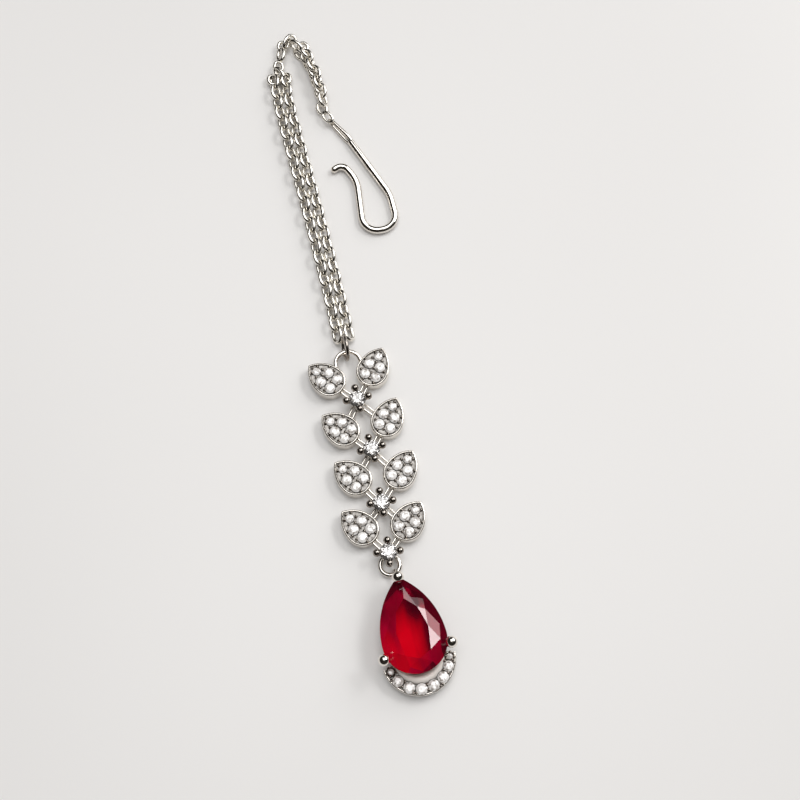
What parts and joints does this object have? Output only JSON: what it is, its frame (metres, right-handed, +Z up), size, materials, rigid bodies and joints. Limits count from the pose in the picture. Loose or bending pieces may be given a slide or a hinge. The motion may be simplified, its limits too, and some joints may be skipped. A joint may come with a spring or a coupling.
{
  "type": "maang tikka",
  "caption": "Hair and forehead jewel: a link chain with a hair hook, paved leaves around claw-set round stones, and a pear-cut red stone with a stone-set crescent.",
  "frame": {"origin": "on the surface it lies on, under the middle of the whole piece's box", "axes": "+Y from the pear pendant to the chain's fold, +Z up, out of the stones' faces, +X to the right, where the hook lies"},
  "size_m": [0.0207, 0.1194, 0.0067],
  "materials": {
    "silver": "polished",
    "ruby": "faceted and polished",
    "crystal": "faceted and polished"
  },
  "bodies": {
    "root": {"chain": "silver", "chain_ring": "silver", "claw_setting_1": "silver", "claw_setting_2": "silver", "claw_setting_3": "silver", "claw_setting_4": "silver", "drop_ring": "silver", "end_ring": "silver", "hook": "silver", "leaf_2_left": "silver", "leaf_2_right": "silver", "leaf_3_left": "silver", "leaf_3_right": "silver", "leaf_4_left": "silver", "leaf_4_right": "silver", "leaf_pair_1": "silver", "link_1_lower_left": "silver", "link_1_lower_right": "silver", "link_1_upper_left": "silver", "link_1_upper_right": "silver", "link_2_lower_left": "silver", "link_2_lower_right": "silver", "link_2_upper_left": "silver", "link_2_upper_right": "silver", "link_3_lower_left": "silver", "link_3_lower_right": "silver", "link_3_upper_left": "silver", "link_3_upper_right": "silver", "link_4_upper_left": "silver", "link_4_upper_right": "silver", "pear_setting": "silver", "pear_stone": "ruby", "round_stone_1": "crystal", "round_stone_2": "crystal", "round_stone_3": "crystal", "round_stone_4": "crystal"}
  },
  "joints": []
}
